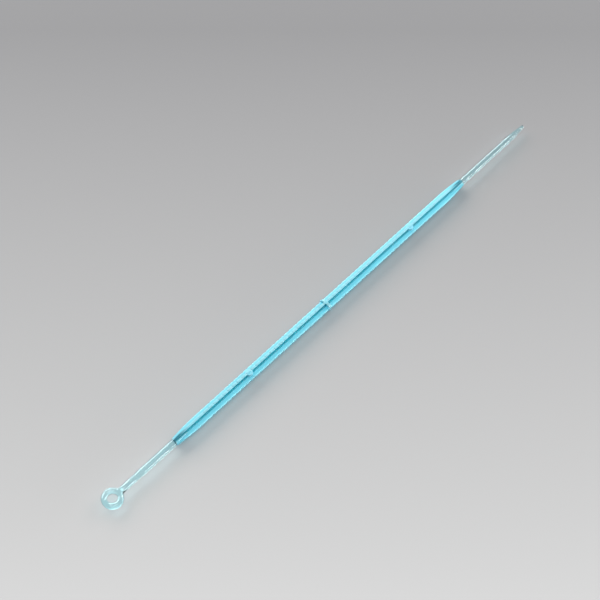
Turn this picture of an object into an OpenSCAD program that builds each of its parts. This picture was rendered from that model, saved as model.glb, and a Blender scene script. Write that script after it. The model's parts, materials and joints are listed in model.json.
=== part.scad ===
// Disposable inoculating loop: a ring on a round shank, a serrated plus-shaped grip and a needle.
// The tool lies along X with the ring at -X and the needle at +X. It rests on its bottom fin.

/* [Overall] */
// Length from the outer edge of the ring to the end of the needle
overall_length = 200; // [190:1:215]
// Distance from the outer edge of the ring to the start of the grip
front_reach = 29.5; // [26:0.5:36]
// Distance from the end of the grip to the end of the needle
needle_reach = 34; // [28:0.5:40]

/* [Loop] */
// Outer diameter of the ring
ring_outer_d = 7; // [6.6:0.1:7]
// Diameter of the hole through the ring
ring_hole_d = 3.3; // [3.25:0.05:3.5]
// Height of the ring along its hole
ring_height = 1.95; // [1.95:0.05:2.05]
// Radius of the two fillets that flare the neck into the ring
neck_fillet_r = 3; // [2.5:0.5:5]

/* [Shank] */
// Diameter of the shank behind the ring
front_shank_d = 2.2; // [2.1:0.05:2.3]
// Diameter of the shank in front of the grip
rear_shank_d = 2.4; // [2.35:0.05:2.6]
// Distance from the outer edge of the ring to the middle of the step in the shank
step_reach = 14.5; // [13:0.5:20]
// Length of the step
step_length = 2.4; // [1.2:0.1:3]

/* [Grip] */
// Distance from the axis to the edge of a fin
fin_radius = 1.95; // [1.85:0.05:2.05]
// Thickness of a fin
fin_thickness = 0.8; // [0.7:0.05:0.9]
// Distance from the axis to the edge of a fin at the two ends of the grip
fin_end_radius = 1.3; // [1.25:0.05:1.5]
// Length over which a fin rises to its full height at each end
runout_length = 11; // [8:0.5:14]
// Spacing of the notches along the fins
notch_pitch = 2.1; // [1.8:0.05:2.5]
// Depth of a notch
notch_depth = 0.15; // [0.1:0.05:0.35]
// Radius of a notch
notch_r = 0.42; // [0.38:0.02:0.6]

/* [Moulding marks] */
// Thickness of the cross web at the gate
gate_web_length = 0.9; // [0.8:0.1:1.3]
// Radius of the cross web at the gate
gate_web_r = 2.1; // [2.1:0.05:2.3]
// Diameter of the stub that the gate leaves
gate_stub_d = 0.7; // [0.6:0.1:1.2]
// Height of the stub that the gate leaves
gate_stub_height = 0.25; // [0.1:0.05:0.5]
// Diameter of an ejector pad
ejector_pad_d = 2.4; // [2:0.1:2.8]
// Depth of an ejector pad's face below the edge of the top fin
ejector_pad_drop = 0.35; // [0.2:0.05:0.6]
// Distance from the gate to the ejector pad nearer the ring
ejector_front_reach = 35.5; // [30:0.5:45]
// Distance from the gate to the ejector pad nearer the needle
ejector_rear_reach = 41.5; // [30:0.5:45]

/* [Needle] */
// Diameter of the needle
needle_d = 2.1; // [2:0.05:2.3]
// Diameter of the needle's blunt end
needle_end_d = 1.1; // [0.8:0.1:1.4]
// Length of the taper at the needle's end
needle_taper_length = 7; // [5:0.5:10]

/* [Hidden] */

// Fineness of the round surfaces
round_fn = 48;
// Fineness of the long shallow arcs at the ends of the fins
runout_fn = 360;
// Length over which a round shank fades between the fins
root_length = 5;
// Radius of the root where it ends between the fins
root_end_r = 0.75;
// Size of the small chamfer at the needle's end
end_chamfer = 0.2;
// Extra length that carries a cutting shape past the solid it cuts
over = 1;

// Heights and places along X
axis_z = fin_radius;
front_x = -overall_length / 2;
needle_end_x = overall_length / 2;
grip_start_x = front_x + front_reach;
grip_end_x = needle_end_x - needle_reach;
grip_length = grip_end_x - grip_start_x;
gate_x = (grip_start_x + grip_end_x) / 2;

// Ring: a round wire bent to a circle, with a flat land around its hole
wire_r = ring_height / 2;
ring_x = front_x + ring_outer_d / 2;
ring_centre_r = ring_outer_d / 2 - wire_r;

// Neck: each fillet touches the shank and cuts a little way into the ring's outer circle
front_shank_r = front_shank_d / 2;
fillet_bite = 0.1;
fillet_centre_y = front_shank_r + neck_fillet_r;
fillet_reach = ring_outer_d / 2 + neck_fillet_r - fillet_bite;
neck_reach = sqrt(fillet_reach * fillet_reach - fillet_centre_y * fillet_centre_y);
neck_end_x = ring_x + neck_reach;
touch_angle = atan2(fillet_centre_y, neck_reach);
touch_x = ring_outer_d / 2 * cos(touch_angle);
touch_y = ring_outer_d / 2 * sin(touch_angle);

// Height of the neck's flat sides, a little above the shank where the neck ends
neck_start_r = wire_r;
neck_end_flare = 1.15;
neck_end_r = neck_end_flare * front_shank_r;

// Step in the shank
step_start_x = front_x + step_reach - step_length / 2;
step_end_x = step_start_x + step_length;

// Fins: the arc at each end touches the straight edge where the fin is full height
runout_rise = fin_radius - fin_end_radius;
runout_arc_r = (runout_length * runout_length + runout_rise * runout_rise) / (2 * runout_rise);
notched_length = grip_length - 2 * runout_length;
notch_pairs = floor(notched_length / notch_pitch / 2);

// Needle
taper_start_x = needle_end_x - needle_taper_length;

// Places a child, drawn along +Z from the origin, along the tool's axis from x
module on_axis(x) {
    translate([x, 0, axis_z]) rotate([0, 90, 0]) children();
}

// Outline of a fin, with X along the tool and Y away from its axis
module fin_outline() {
    difference() {
        intersection() {
            translate([grip_start_x, fin_thickness / 2])
                square([grip_length, fin_radius - fin_thickness / 2]);
            union() {
                translate([grip_start_x + runout_length, 0]) square([notched_length, fin_radius]);
                for (x = [grip_start_x + runout_length, grip_end_x - runout_length])
                    translate([x, fin_radius - runout_arc_r]) circle(r = runout_arc_r, $fn = runout_fn);
            }
        }
        for (side = [-1, 1])
            for (i = [0:notch_pairs - 1])
                translate([gate_x + side * (i + 0.5) * notch_pitch, fin_radius + notch_r - notch_depth])
                    circle(r = notch_r, $fn = round_fn);
    }
}

// One fin, turned about the tool's axis from the top
module fin(turn) {
    translate([0, 0, axis_z])
        rotate([turn + 90, 0, 0])
            linear_extrude(height = fin_thickness, center = true) fin_outline();
}

// The plus-shaped space that the fins and the core take up, along a length centred on x
module plus_space(x, length) {
    span = 2 * (fin_radius + over);
    translate([x, 0, axis_z]) cube([length, fin_thickness, span], center = true);
    translate([x, 0, axis_z]) cube([length, span, fin_thickness], center = true);
}

// Four quarters of a cone that fades from a shank's end into the corners between the fins
module root(end_r, start_x, direction) {
    difference() {
        translate([start_x, 0, axis_z])
            rotate([0, direction * 90, 0])
                cylinder(h = root_length, r1 = end_r, r2 = root_end_r, $fn = round_fn);
        plus_space(start_x, 2 * (root_length + over));
    }
}

// Round ejector pad in the two corners beside the top fin
module ejector_pad(x) {
    pad_height = fin_radius - ejector_pad_drop - fin_thickness / 2;
    difference() {
        translate([x, 0, axis_z + fin_thickness / 2])
            cylinder(h = pad_height, d = ejector_pad_d, $fn = round_fn);
        plus_space(x, ejector_pad_d + over);
    }
}

module ring_solid() {
    translate([ring_x, 0, axis_z])
        rotate_extrude($fn = 2 * round_fn)
            difference() {
                translate([ring_centre_r, 0]) circle(r = wire_r, $fn = round_fn);
                translate([0, -ring_height]) square([ring_hole_d / 2, 2 * ring_height]);
            }
}

module loop_ring() {
    color([0.74, 0.89, 0.90]) ring_solid();
}

module ring_neck() {
    color([0.66, 0.86, 0.88])
        difference() {
            intersection() {
                // Flare, round about the tool's axis
                on_axis(ring_x)
                    rotate_extrude($fn = 2 * round_fn)
                        difference() {
                            translate([0, touch_x]) square([touch_y, neck_reach - touch_x]);
                            translate([fillet_centre_y, neck_reach])
                                circle(r = neck_fillet_r, $fn = 4 * round_fn);
                        }
                // Height, from the ring's to the shank's
                translate([ring_x, 0, axis_z])
                    rotate([90, 0, 0])
                        linear_extrude(height = 2 * ring_outer_d, center = true)
                            polygon([
                                [touch_x - over, -neck_start_r],
                                [neck_reach + over, -neck_end_r],
                                [neck_reach + over, neck_end_r],
                                [touch_x - over, neck_start_r]
                            ]);
            }
            ring_solid();
        }
}

module front_shank() {
    color([0.66, 0.86, 0.88])
        on_axis(neck_end_x)
            cylinder(h = step_start_x - neck_end_x, d = front_shank_d, $fn = round_fn);
}

module shank_step() {
    color([0.76, 0.92, 0.94])
        on_axis(step_start_x)
            cylinder(h = step_length, d1 = front_shank_d, d2 = rear_shank_d, $fn = round_fn);
}

module rear_shank() {
    color([0.63, 0.85, 0.88]) {
        on_axis(step_end_x)
            cylinder(h = grip_start_x - step_end_x, d = rear_shank_d, $fn = round_fn);
        root(rear_shank_d / 2, grip_start_x, 1);
    }
}

module grip_core() {
    color([0.16, 0.62, 0.70])
        translate([grip_start_x, -fin_thickness / 2, axis_z - fin_thickness / 2])
            cube([grip_length, fin_thickness, fin_thickness]);
}

module grip_fin_top() {
    color([0.45, 0.88, 0.94]) fin(0);
}

module grip_fin_bottom() {
    color([0.26, 0.72, 0.80]) fin(180);
}

module grip_fin_left() {
    color([0.38, 0.82, 0.90]) fin(270);
}

module grip_fin_right() {
    color([0.38, 0.82, 0.90]) fin(90);
}

module gate_web() {
    color([0.50, 0.86, 0.92])
        difference() {
            intersection() {
                on_axis(gate_x - gate_web_length / 2)
                    cylinder(h = gate_web_length, r = gate_web_r, $fn = round_fn);
                // The web stays level with the top and bottom fins
                translate([gate_x, 0, axis_z])
                    cube([gate_web_length + over, 2 * gate_web_r + over, 2 * fin_radius], center = true);
            }
            translate([gate_x, 0, axis_z])
                cube([gate_web_length + over, fin_thickness, 2 * fin_radius + over], center = true);
            translate([gate_x, 0, axis_z])
                cube([gate_web_length + over, 2 * fin_radius, fin_thickness], center = true);
        }
}

module gate_vestige() {
    color([0.62, 0.92, 0.96])
        difference() {
            translate([gate_x, 0, axis_z])
                rotate([-90, 0, 0])
                    cylinder(h = gate_web_r + gate_stub_height, d = gate_stub_d, $fn = round_fn);
            on_axis(gate_x - over)
                cylinder(h = 2 * over, r = gate_web_r, $fn = round_fn);
        }
}

module ejector_pad_front() {
    color([0.50, 0.86, 0.92]) ejector_pad(gate_x - ejector_front_reach);
}

module ejector_pad_rear() {
    color([0.50, 0.86, 0.92]) ejector_pad(gate_x + ejector_rear_reach);
}

module needle_shank() {
    color([0.62, 0.82, 0.85]) {
        on_axis(grip_end_x)
            cylinder(h = taper_start_x - grip_end_x, d = needle_d, $fn = round_fn);
        root(needle_d / 2, grip_end_x, -1);
    }
}

module needle_tip() {
    color([0.70, 0.87, 0.89])
        on_axis(taper_start_x)
            rotate_extrude($fn = round_fn)
                polygon([
                    [0, 0],
                    [needle_d / 2, 0],
                    [needle_end_d / 2, needle_taper_length - end_chamfer],
                    [needle_end_d / 2 - end_chamfer, needle_taper_length],
                    [0, needle_taper_length]
                ]);
}

loop_ring();
ring_neck();
front_shank();
shank_step();
rear_shank();
grip_core();
grip_fin_top();
grip_fin_bottom();
grip_fin_left();
grip_fin_right();
gate_web();
gate_vestige();
ejector_pad_front();
ejector_pad_rear();
needle_shank();
needle_tip();
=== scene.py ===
import json
import math

import bpy
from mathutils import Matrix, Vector


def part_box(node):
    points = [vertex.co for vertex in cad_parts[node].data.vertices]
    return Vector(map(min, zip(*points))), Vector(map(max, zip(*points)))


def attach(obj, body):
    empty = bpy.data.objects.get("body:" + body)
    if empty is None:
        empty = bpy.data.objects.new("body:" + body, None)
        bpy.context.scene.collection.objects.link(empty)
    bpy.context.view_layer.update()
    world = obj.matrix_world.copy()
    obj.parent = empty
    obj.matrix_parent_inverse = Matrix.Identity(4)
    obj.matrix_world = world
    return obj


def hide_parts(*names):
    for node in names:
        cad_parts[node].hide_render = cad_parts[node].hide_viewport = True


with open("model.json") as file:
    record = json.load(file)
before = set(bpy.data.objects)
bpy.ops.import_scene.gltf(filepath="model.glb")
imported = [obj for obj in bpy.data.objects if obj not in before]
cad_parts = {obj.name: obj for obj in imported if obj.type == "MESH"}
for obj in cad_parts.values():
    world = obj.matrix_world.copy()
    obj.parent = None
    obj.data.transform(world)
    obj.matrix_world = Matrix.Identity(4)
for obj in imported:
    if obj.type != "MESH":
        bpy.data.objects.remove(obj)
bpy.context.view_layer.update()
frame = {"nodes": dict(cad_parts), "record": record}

# Disposable inoculating loop in clear blue polystyrene: ring, shank, serrated grip and needle
mm = 0.001
mounts = {m["name"]: m for m in frame["record"]["mounts"]}
axisZ = mounts["needle_pin"]["pos_m"][2]     # height of the tool's own axis
wholeBody = "root"       # nothing moves, so every piece rides on this one body
sharpAngle = math.radians(40)     # edges sharper than this stay crisp
reliefDepth = 0.05 * mm           # height of the fine relief that the bump nodes draw
longEdge = 1 * mm                 # edges that reach further than this run along the tool
cutLength, cutWidth = 10 * mm, 8 * mm     # longer and wider than any root between the fins


# Selecting and shaping

def selectOnly(*pieces):
    if bpy.context.mode != "OBJECT":
        bpy.ops.object.mode_set(mode="OBJECT")
    bpy.ops.object.select_all(action="DESELECT")
    for piece in pieces:
        piece.select_set(True)
    bpy.context.view_layer.objects.active = pieces[0]


def pick(piece, kind, wanted):           # into edit mode, with only the wanted parts selected
    selectOnly(piece)
    bpy.ops.object.mode_set(mode="EDIT")
    bpy.ops.mesh.select_mode(type=kind)
    bpy.ops.mesh.select_all(action="DESELECT")
    bpy.ops.object.mode_set(mode="OBJECT")
    mesh = piece.data
    for part in {"VERT": mesh.vertices, "FACE": mesh.polygons}[kind]:
        part.select = wanted(part)
    bpy.ops.object.mode_set(mode="EDIT")


def pickLong(piece):                     # the edges that run the whole way along the tool
    selectOnly(piece)
    bpy.ops.object.mode_set(mode="EDIT")
    bpy.ops.mesh.select_mode(type="EDGE")
    bpy.ops.mesh.select_all(action="DESELECT")
    bpy.ops.object.mode_set(mode="OBJECT")
    points = piece.data.vertices
    for edge in piece.data.edges:
        first, last = (points[i].co for i in edge.vertices)
        edge.select = abs(first.x - last.x) > longEdge
    bpy.ops.object.mode_set(mode="EDIT")


def pickAll(piece):
    pick(piece, "VERT", lambda vertex: True)


def done():
    bpy.ops.object.mode_set(mode="OBJECT")


def applyModifier(piece, kind, **settings):
    selectOnly(piece)
    modifier = piece.modifiers.new(kind.lower(), kind)
    for key, value in settings.items():
        setattr(modifier, key, value)
    bpy.ops.object.modifier_apply(modifier=modifier.name)


def settle(piece, name):                 # its place goes into its mesh, as a CAD node's does
    selectOnly(piece)
    bpy.ops.object.transform_apply(location=True, rotation=True, scale=True)
    piece.name = name
    piece.data.name = name
    return piece


def cageFactor(sides):                   # how far a smoothed ring of points shrinks inwards
    return (4 + 2 * math.cos(2 * math.pi / sides)) / 6


def startTube(x, radius, sides):
    bpy.ops.object.select_all(action="DESELECT")
    bpy.ops.mesh.primitive_circle_add(vertices=sides, radius=radius / cageFactor(sides),
                                      location=(x, 0, axisZ), rotation=(0, math.pi / 2, 0))
    piece = bpy.context.object
    bpy.ops.object.transform_apply(location=True, rotation=True, scale=True)
    return piece


def growTube(piece, x, radius, stations):     # stations are (x, radius), in order
    pickAll(piece)
    for nextX, nextRadius in stations:
        bpy.ops.mesh.extrude_region_move(TRANSFORM_OT_translate={"value": (nextX - x, 0, 0)})
        change = nextRadius / radius
        bpy.ops.transform.resize(value=(1, change, change), center_override=(nextX, 0, axisZ))
        x, radius = nextX, nextRadius
    bpy.ops.mesh.edge_face_add()              # closes the far end
    done()


def cutPlus(piece, x, fromAxis):              # takes the fins' own space out of a shank's root
    bpy.ops.object.select_all(action="DESELECT")
    for turn in (0, math.pi / 2):
        bpy.ops.mesh.primitive_cube_add(size=1, location=(x, 0, axisZ), rotation=(turn, 0, 0))
        cutter = bpy.context.object
        cutter.scale = (cutLength, cutWidth, 2 * fromAxis)
        bpy.ops.object.transform_apply(location=True, rotation=True, scale=True)
        applyModifier(piece, "BOOLEAN", object=cutter, operation="DIFFERENCE", solver="EXACT")
        bpy.data.objects.remove(cutter)


# Materials

def linearColour(code):                  # sRGB hex to linear, with alpha
    shades = [int(code[i:i + 2], 16) / 255 for i in (0, 2, 4)]
    return [s / 12.92 if s <= 0.04045 else ((s + 0.055) / 1.055) ** 2.4 for s in shades] + [1]


def addNode(tree, kind, settings=None, sockets=None, links=None):
    made = tree.nodes.new(kind)
    for key, value in (settings or {}).items():
        setattr(made, key, value)
    for key, value in (sockets or {}).items():
        made.inputs[key].default_value = value
    for key, source in (links or {}).items():
        tree.links.new(source, made.inputs[key])
    return made


def startMaterial(name):
    material = bpy.data.materials.new(name)
    material.use_nodes = True
    material.node_tree.nodes.clear()
    return material, material.node_tree


def addRelief(tree, height, strength):
    return addNode(tree, "ShaderNodeBump", sockets={"Strength": strength, "Distance": reliefDepth},
                   links={"Height": height})


def letLampsThrough(tree, surface, tint):     # a lamp's light goes through, and colours the shadow
    path = addNode(tree, "ShaderNodeLightPath")
    clear = addNode(tree, "ShaderNodeBsdfTransparent", sockets={"Color": linearColour(tint)})
    both = addNode(tree, "ShaderNodeMixShader", links={
        0: path.outputs["Is Shadow Ray"], 1: surface, 2: clear.outputs["BSDF"]})
    return both.outputs["Shader"]


def finishMaterial(tree, surface):
    addNode(tree, "ShaderNodeOutputMaterial", links={"Surface": surface})


def wear(piece, material):
    piece.data.materials.clear()
    piece.data.materials.append(material)


def satinBeyond(piece, within):          # the roots between the fins share the grip's finish
    piece.data.materials.append(paintedLightSatinPolystyrene)
    for face in piece.data.polygons:
        face.material_index = 1 if within(face.center.x) else 0


polished = {
    "colour": "d0f7fc", "shadow": "ced6d8", "ior": 1.59, "roughness": 0.05,
    "flowWidth": 0.5 * mm, "flowLength": 25 * mm, "flowBump": 0.01,     # drawn along the tool
}


def makePolished():    # clear moulded polystyrene from a polished cavity: glassy, faint flow lines
    material, tree = startMaterial("polishedPolystyrene")
    place = addNode(tree, "ShaderNodeTexCoord")
    along, across = 1 / polished["flowLength"], 1 / polished["flowWidth"]
    stretch = addNode(tree, "ShaderNodeMapping", sockets={"Scale": (along, across, across)},
                      links={"Vector": place.outputs["Object"]})
    flow = addNode(tree, "ShaderNodeTexNoise", sockets={"Scale": 1.0, "Detail": 2.0},
                   links={"Vector": stretch.outputs["Vector"]})
    bump = addRelief(tree, flow.outputs["Fac"], polished["flowBump"])
    surface = addNode(tree, "ShaderNodeBsdfPrincipled", sockets={
        "Base Color": linearColour(polished["colour"]), "Roughness": polished["roughness"],
        "IOR": polished["ior"], "Transmission Weight": 1.0},
        links={"Normal": bump.outputs["Normal"]})
    finishMaterial(tree, letLampsThrough(tree, surface.outputs["BSDF"], polished["shadow"]))
    return material


satin = {
    "edge": "8accd6", "body": "6bbfcc", "paintedCornerShade": "007485",      # painted glow on the thin edges, the fins' own blue, painted shade on the upright fins and inner corners
    "paintedGlowStart": 1.5 * mm, "paintedGlowEnd": 1.9 * mm,           # distances from the axis over which the painted edge glow comes in
    "paintedShadeStart": 0.75 * mm, "paintedShadeEnd": 0.45 * mm,     # distances from the upright middle plane over which the painted shade comes in
    "shadow": "b4d8e0", "ior": 1.59, "roughness": 0.3, "clear": 0.4,
    "grit": 0.3 * mm, "gritBump": 0.05,                   # the real grit is finer than this
}


def makeSatin():       # the same plastic from a satin cavity, with painted shade in deep blue on the upright fins and corners and a painted pale glow on the edges
    material, tree = startMaterial("paintedLightSatinPolystyrene")
    place = addNode(tree, "ShaderNodeTexCoord")
    split = addNode(tree, "ShaderNodeSeparateXYZ", links={"Vector": place.outputs["Object"]})
    lift = addNode(tree, "ShaderNodeMath", {"operation": "SUBTRACT"}, {1: axisZ},
                   {0: split.outputs["Z"]})
    across = addNode(tree, "ShaderNodeCombineXYZ",
                     links={"Y": split.outputs["Y"], "Z": lift.outputs["Value"]})
    fromAxis = addNode(tree, "ShaderNodeVectorMath", {"operation": "LENGTH"},
                       links={0: across.outputs["Vector"]})
    paintedGlowMask = addNode(tree, "ShaderNodeMapRange", {"interpolation_type": "SMOOTHSTEP"},
                     {"From Min": satin["paintedGlowStart"], "From Max": satin["paintedGlowEnd"]},
                     {"Value": fromAxis.outputs["Value"]})
    aside = addNode(tree, "ShaderNodeMath", {"operation": "ABSOLUTE"}, None,
                    {0: split.outputs["Y"]})
    paintedShadeMask = addNode(tree, "ShaderNodeMapRange", {"interpolation_type": "SMOOTHSTEP"},
                       {"From Min": satin["paintedShadeStart"], "From Max": satin["paintedShadeEnd"]},
                       {"Value": aside.outputs["Value"]})
    # the fins' blue turns to painted shade near the upright middle plane
    bodyWithPaintedShade = addNode(tree, "ShaderNodeMix", {"data_type": "RGBA"},
                    {6: linearColour(satin["body"]), 7: linearColour(satin["paintedCornerShade"])},
                    {"Factor": paintedShadeMask.outputs["Result"]})
    # shade then turns to the painted glow colour towards the fins' edges
    shade = addNode(tree, "ShaderNodeMix", {"data_type": "RGBA"},
                    {7: linearColour(satin["edge"])},
                    {"Factor": paintedGlowMask.outputs["Result"], 6: bodyWithPaintedShade.outputs[2]})
    grit = addNode(tree, "ShaderNodeTexNoise", None,
                   {"Scale": 1 / satin["grit"], "Detail": 3.0},
                   {"Vector": place.outputs["Object"]})
    bump = addRelief(tree, grit.outputs["Fac"], satin["gritBump"])
    surface = addNode(tree, "ShaderNodeBsdfPrincipled", None, {
        "Roughness": satin["roughness"], "IOR": satin["ior"],
        "Transmission Weight": satin["clear"]},
        {"Base Color": shade.outputs[2], "Normal": bump.outputs["Normal"]})
    finishMaterial(tree, letLampsThrough(tree, surface.outputs["BSDF"], satin["shadow"]))
    return material


etched = {
    "pale": "a2dbe6", "blue": "68bcd0", "shadow": "a8d0da", "ior": 1.59, "roughness": 0.4,
    "clear": 0.3, "grain": 0.35 * mm, "grainBump": 0.2,     # the real grain is finer than this
}


def makeEtched():      # the stub and the ejector pins' marks: frosted, with pale and blue specks
    material, tree = startMaterial("etchedPolystyrene")
    place = addNode(tree, "ShaderNodeTexCoord")
    grain = addNode(tree, "ShaderNodeTexNoise", None,
                    {"Scale": 1 / etched["grain"], "Detail": 2.0},
                    {"Vector": place.outputs["Object"]})
    shade = addNode(tree, "ShaderNodeMix", {"data_type": "RGBA"},
                    {6: linearColour(etched["pale"]), 7: linearColour(etched["blue"])},
                    {"Factor": grain.outputs["Fac"]})
    bump = addRelief(tree, grain.outputs["Fac"], etched["grainBump"])
    surface = addNode(tree, "ShaderNodeBsdfPrincipled", None, {
        "Roughness": etched["roughness"], "IOR": etched["ior"],
        "Transmission Weight": etched["clear"]},
        {"Base Color": shade.outputs[2], "Normal": bump.outputs["Normal"]})
    finishMaterial(tree, letLampsThrough(tree, surface.outputs["BSDF"], etched["shadow"]))
    return material


polishedPolystyrene = makePolished()
paintedLightSatinPolystyrene = makeSatin()
etchedPolystyrene = makeEtched()
print("materials made")


# Ring, neck and shank: one smooth clear run of plastic, from the ring to its roots in the grip

loopEnd = {
    "ringFaces": 40, "wireFaces": 8,     # the ring's cage, before it is smoothed
    "neckAngle": 18, "neckCuts": 2,      # how much of the ring the neck grows from
    "shankSides": 12, "smoothing": 3,
    "cornerGap": 0.08 * mm,              # how close the rings stand that keep a corner crisp
    "neckRun": 1.5 * mm,                 # straight shank before the neck's own curve begins
    "rootLength": 5 * mm, "rootEnd": 0.75 * mm,
    "satinLength": 0.15 * mm,            # end of the shank that already has the grip's finish
}


def makeLoopEnd():
    low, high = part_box("loop_ring")
    centreX = (low.x + high.x) / 2
    wireRadius = (high.z - low.z) / 2
    outerRadius = (high.x - low.x) / 2
    holeRadius = mounts["ring_hole"]["dims"]["r_mm"] * mm
    wireCage = wireRadius / cageFactor(loopEnd["wireFaces"])
    ringCage = (outerRadius - wireRadius) / cageFactor(loopEnd["ringFaces"])
    gap = loopEnd["cornerGap"]

    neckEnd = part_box("ring_neck")[1].x
    frontLow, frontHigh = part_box("front_shank")
    rearLow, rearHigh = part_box("rear_shank")
    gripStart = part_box("grip_core")[0].x
    frontRadius = (frontHigh.z - frontLow.z) / 2
    rearRadius = (rearHigh.z - rearLow.z) / 2

    tube = startTube(neckEnd, frontRadius, loopEnd["shankSides"])
    growTube(tube, neckEnd, frontRadius, [
        (neckEnd + loopEnd["neckRun"], frontRadius),
        (frontHigh.x - gap, frontRadius), (frontHigh.x + gap, frontRadius),
        (rearLow.x - gap, rearRadius), (rearLow.x + gap, rearRadius),
        (gripStart - loopEnd["satinLength"], rearRadius),
        (gripStart - gap, rearRadius), (gripStart + gap, rearRadius),
        (gripStart + loopEnd["rootLength"] - gap, loopEnd["rootEnd"]),
        (gripStart + loopEnd["rootLength"], loopEnd["rootEnd"]),
    ])

    bpy.ops.object.select_all(action="DESELECT")
    bpy.ops.mesh.primitive_torus_add(location=(centreX, 0, axisZ), major_radius=ringCage,
                                     minor_radius=wireCage, major_segments=loopEnd["ringFaces"],
                                     minor_segments=loopEnd["wireFaces"])
    ring = bpy.context.object
    bpy.ops.object.transform_apply(location=True, rotation=True, scale=True)

    def facesNeck(face):                 # the outer faces on the shank's side of the ring
        away = face.center - Vector((centreX, 0, axisZ))
        turn = abs(math.degrees(math.atan2(away.y, away.x)))
        outwards = math.hypot(away.x, away.y) - ringCage
        return turn < loopEnd["neckAngle"] and outwards > wireCage / 2

    pick(ring, "FACE", facesNeck)
    bpy.ops.mesh.delete(type="FACE")
    done()
    selectOnly(ring, tube)
    bpy.ops.object.join()
    pickAll(ring)
    bpy.ops.mesh.select_all(action="DESELECT")
    bpy.ops.mesh.select_non_manifold()
    bpy.ops.mesh.bridge_edge_loops(number_cuts=loopEnd["neckCuts"], interpolation="LINEAR")
    bpy.ops.mesh.select_all(action="SELECT")
    bpy.ops.mesh.normals_make_consistent(inside=False)
    done()
    applyModifier(ring, "SUBSURF", levels=loopEnd["smoothing"],
                  render_levels=loopEnd["smoothing"])

    for vertex in ring.data.vertices:    # the flat land round the inside of the ring
        away = math.hypot(vertex.co.x - centreX, vertex.co.y)
        if away < holeRadius:
            vertex.co.x = centreX + (vertex.co.x - centreX) * holeRadius / away
            vertex.co.y *= holeRadius / away

    finHalf = (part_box("grip_fin_top")[1].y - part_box("grip_fin_top")[0].y) / 2
    cutPlus(ring, gripStart + cutLength / 2, finHalf)
    selectOnly(ring)
    bpy.ops.object.shade_smooth_by_angle(angle=sharpAngle)
    settle(ring, "loopAndShank")
    wear(ring, polishedPolystyrene)
    satinBeyond(ring, lambda x: x > gripStart - loopEnd["satinLength"])
    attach(ring, wholeBody)
    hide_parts("loop_ring", "ring_neck", "front_shank", "shank_step", "rear_shank")
    print("ring and shank made:", len(ring.data.polygons), "faces")


makeLoopEnd()


# Needle: from its roots between the fins to the blunt end

needle = {
    "sides": 16, "smoothing": 3, "cornerGap": 0.08 * mm,
    "rootLength": 5 * mm, "rootEnd": 0.75 * mm,
    "endRadius": 0.55 * mm, "endChamfer": 0.2 * mm,
    "endRun": 0.32 * mm, "endCentre": 0.1 * mm,     # last straight bit, and the end face's middle
    "satinLength": 0.04 * mm,
}


def makeNeedle():
    tipLow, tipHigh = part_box("needle_tip")
    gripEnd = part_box("grip_core")[1].x
    radius = mounts["needle_pin"]["dims"]["r_mm"] * mm
    gap = needle["cornerGap"]
    rootX = gripEnd - needle["rootLength"]
    piece = startTube(rootX, needle["rootEnd"], needle["sides"])
    pickAll(piece)
    bpy.ops.mesh.edge_face_add()         # closes the root's own end
    done()
    growTube(piece, rootX, needle["rootEnd"], [
        (rootX + gap, needle["rootEnd"]),
        (gripEnd - gap, radius), (gripEnd + gap, radius),
        (tipLow.x - gap, radius), (tipLow.x + gap, radius),
        (tipHigh.x - needle["endChamfer"] - needle["endRun"], needle["endRadius"]),
        (tipHigh.x - needle["endChamfer"], needle["endRadius"]),
        (tipHigh.x, needle["endRadius"] - needle["endChamfer"]),
        (tipHigh.x, needle["endCentre"]),
    ])
    pickAll(piece)
    bpy.ops.mesh.normals_make_consistent(inside=False)
    done()
    applyModifier(piece, "SUBSURF", levels=needle["smoothing"], render_levels=needle["smoothing"])
    finHalf = (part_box("grip_fin_top")[1].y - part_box("grip_fin_top")[0].y) / 2
    cutPlus(piece, gripEnd - cutLength / 2, finHalf)
    selectOnly(piece)
    bpy.ops.object.shade_smooth_by_angle(angle=sharpAngle)
    settle(piece, "needleEnd")
    wear(piece, polishedPolystyrene)
    satinBeyond(piece, lambda x: x < gripEnd + needle["satinLength"])
    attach(piece, wholeBody)
    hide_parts("needle_shank", "needle_tip")
    print("needle made:", len(piece.data.polygons), "faces")


makeNeedle()


# Grip: a plus-shaped bar, its four edges tapered at both ends and notched between

grip = {
    "notchPitch": 2.1 * mm, "notchDepth": 0.15 * mm, "notchWidth": 0.7 * mm,
    "notchPairs": 27, "columnsPerNotch": 12,
    "runoutLength": 11 * mm, "endRadius": 1.3 * mm,
    "edgeRound": 0.1 * mm, "edgeSteps": 3, "edgeAngle": math.radians(60),
}


def finEdge(along, halfLength, fullRadius):     # from the axis to a fin's edge, at a place along it
    rise = fullRadius - grip["endRadius"]
    arc = (grip["runoutLength"] ** 2 + rise ** 2) / (2 * rise)
    intoRunout = abs(along) - halfLength + grip["runoutLength"]
    edge = fullRadius
    if intoRunout > 0:
        edge += math.sqrt(arc ** 2 - intoRunout ** 2) - arc
    pitches = abs(along) / grip["notchPitch"]
    fromNotch = abs(pitches % 1 - 0.5) * grip["notchPitch"]
    if pitches < grip["notchPairs"] and fromNotch < grip["notchWidth"] / 2:
        wave = math.cos(2 * math.pi * fromNotch / grip["notchWidth"])
        edge -= grip["notchDepth"] * (0.5 + 0.5 * wave)
    return edge


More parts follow.
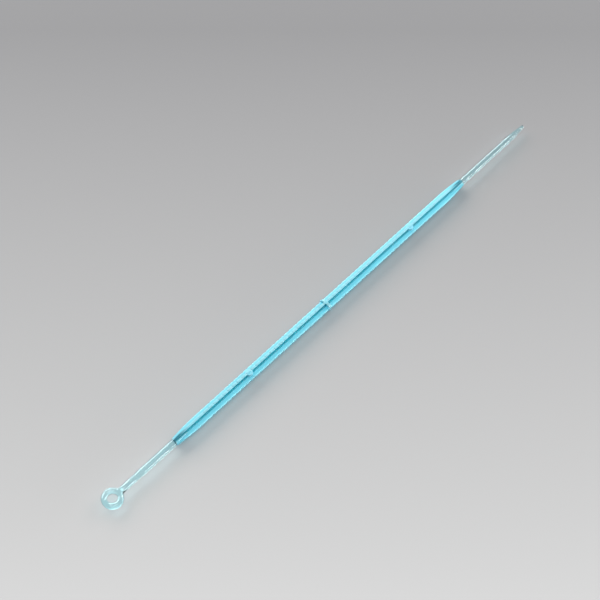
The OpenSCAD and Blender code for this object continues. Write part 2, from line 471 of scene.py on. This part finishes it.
def makeGrip():
    low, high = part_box("grip_core")
    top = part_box("grip_fin_top")[1].z - axisZ
    middle, length, half = (low.x + high.x) / 2, high.x - low.x, (high.y - low.y) / 2
    bpy.ops.object.select_all(action="DESELECT")
    bpy.ops.mesh.primitive_cube_add(size=1, location=(middle, 0, axisZ),
                                    scale=(length, 2 * half, 2 * half))
    bar = bpy.context.object
    bpy.ops.object.transform_apply(location=True, rotation=True, scale=True)

    pick(bar, "FACE", lambda face: abs(face.normal.x) < 0.5)
    bpy.ops.mesh.extrude_faces_move(TRANSFORM_OT_shrink_fatten={"value": top - half})
    pickLong(bar)
    bpy.ops.mesh.subdivide(number_cuts=round(length / grip["notchPitch"]) - 1)
    done()
    pickLong(bar)
    bpy.ops.mesh.subdivide(number_cuts=grip["columnsPerNotch"] - 1)
    done()
    beyondCore = 1.1 * half
    for vertex in bar.data.vertices:
        y, z = vertex.co.y, vertex.co.z - axisZ
        edge = finEdge(vertex.co.x - middle, length / 2, top)
        if abs(y) > beyondCore:
            vertex.co.y = math.copysign(edge, y)
        if abs(z) > beyondCore:
            vertex.co.z = axisZ + math.copysign(edge, z)
    applyModifier(bar, "BEVEL", width=grip["edgeRound"], segments=grip["edgeSteps"],
                  limit_method="ANGLE", angle_limit=grip["edgeAngle"])
    selectOnly(bar)
    bpy.ops.object.shade_smooth_by_angle(angle=sharpAngle)
    settle(bar, "gripBar")
    wear(bar, paintedLightSatinPolystyrene)
    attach(bar, wholeBody)
    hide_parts("grip_core", "grip_fin_top", "grip_fin_bottom", "grip_fin_left",
                "grip_fin_right")
    print("grip made:", len(bar.data.polygons), "faces")


makeGrip()

wear(frame["nodes"]["gate_web"], paintedLightSatinPolystyrene)
for node in ("gate_vestige", "ejector_pad_front", "ejector_pad_rear"):
    wear(frame["nodes"][node], etchedPolystyrene)
print("CAD nodes of the grip finished")


# Floor, light and camera

camera = {
    "azimuth": -46.9, "elevation": 57, "distance": 0.491,
    "aim": (-6.5 * mm, 7.4 * mm), "lens": 90.78, "sensor": 36, "clip": (0.01, 20),
}

studio = {
    "nearPaper": "b0b0b0", "farPaper": "717172", "paperLength": 0.24, "paintedShadeFade": 0.75,
    "paperSize": 6, "paperRoughness": 0.9, "paperShine": 0.1,
    "worldColour": "ffffff", "worldStrength": 0.55,
    "softboxes": {     # bearing from the camera's right, height in degrees, distance, size, power
        "backLeftSoftbox": (126, 27, 0.9, (1.15, 0.42), 15),
        "backRightSoftbox": (38, 27, 0.9, (0.45, 0.36), 7),
        "rightSoftbox": (-8, 5, 0.9, (0.9, 0.12), 7),
        "topSoftbox": (-90, 75, 1.0, (0.6, 0.6), 3),
    },
}


def aimAt(piece, place, target):
    piece.location = place
    piece.rotation_mode = "QUATERNION"
    piece.rotation_quaternion = (Vector(target) - Vector(place)).to_track_quat("-Z", "Y")


def makeCamera():
    turn, lift = math.radians(camera["azimuth"]), math.radians(camera["elevation"])
    level = math.cos(lift)
    back = Vector((math.sin(turn) * level, -math.cos(turn) * level, math.sin(lift)))
    target = Vector((*camera["aim"], axisZ))
    data = bpy.data.cameras.new("viewCamera")
    data.sensor_width = camera["sensor"]
    data.lens = camera["lens"]
    data.clip_start, data.clip_end = camera["clip"]
    eye = bpy.data.objects.new("viewCamera", data)
    bpy.context.scene.collection.objects.link(eye)
    aimAt(eye, target + back * camera["distance"], target)
    bpy.context.scene.camera = eye


def makeStudio():
    turn = math.radians(camera["azimuth"])
    right = Vector((math.cos(turn), math.sin(turn), 0))
    forward = Vector((-math.sin(turn), math.cos(turn), 0))
    for name, (bearing, height, away, size, power) in studio["softboxes"].items():
        data = bpy.data.lights.new(name, "AREA")
        data.shape = "RECTANGLE"
        data.size, data.size_y = size
        data.energy = power
        lamp = bpy.data.objects.new(name, data)
        bpy.context.scene.collection.objects.link(lamp)
        bearing, height = math.radians(bearing), math.radians(height)
        level = right * math.cos(bearing) + forward * math.sin(bearing)
        place = (level * math.cos(height) + Vector((0, 0, math.sin(height)))) * away
        aimAt(lamp, place, (0, 0, 0))
    world = bpy.data.worlds.new("studioAir")
    world.use_nodes = True
    sky = world.node_tree.nodes["Background"]
    sky.inputs["Color"].default_value = linearColour(studio["worldColour"])
    sky.inputs["Strength"].default_value = studio["worldStrength"]
    bpy.context.scene.world = world

    bpy.ops.object.select_all(action="DESELECT")
    bpy.ops.mesh.primitive_plane_add(size=studio["paperSize"])
    floor = bpy.context.object
    floor.name = "floor"
    material, tree = startMaterial("gradedPaperWithPaintedShade")    # matt grey backdrop paper, darker to the back; the fade's curve paints shade over the middle, where the lamps light the floor most
    place = addNode(tree, "ShaderNodeTexCoord")
    along = addNode(tree, "ShaderNodeMapping", {"vector_type": "TEXTURE"}, sockets={
        "Location": forward * -studio["paperLength"] / 2, "Rotation": (0, 0, turn),
        "Scale": (1, studio["paperLength"], 1)}, links={"Vector": place.outputs["Object"]})
    split = addNode(tree, "ShaderNodeSeparateXYZ", links={"Vector": along.outputs["Vector"]})
    within = addNode(tree, "ShaderNodeClamp", links={"Value": split.outputs["Y"]})
    # curved so that painted shade falls over the middle of the floor, where the lamps light it most
    fadeWithPaintedShade = addNode(tree, "ShaderNodeMath", {"operation": "POWER"}, {1: studio["paintedShadeFade"]},
                   {0: within.outputs["Result"]})
    shade = addNode(tree, "ShaderNodeMix", {"data_type": "RGBA"},
                    links={"Factor": fadeWithPaintedShade.outputs["Value"]})
    shade.inputs[6].default_value = linearColour(studio["nearPaper"])
    shade.inputs[7].default_value = linearColour(studio["farPaper"])
    surface = addNode(tree, "ShaderNodeBsdfPrincipled", sockets={
        "Roughness": studio["paperRoughness"], "Specular IOR Level": studio["paperShine"]},
        links={"Base Color": shade.outputs[2]})
    finishMaterial(tree, surface.outputs["BSDF"])
    wear(floor, material)


makeCamera()
makeStudio()
bpy.context.scene.view_settings.view_transform = "Standard"     # keeps the plastic's colour true
print("camera and light made")
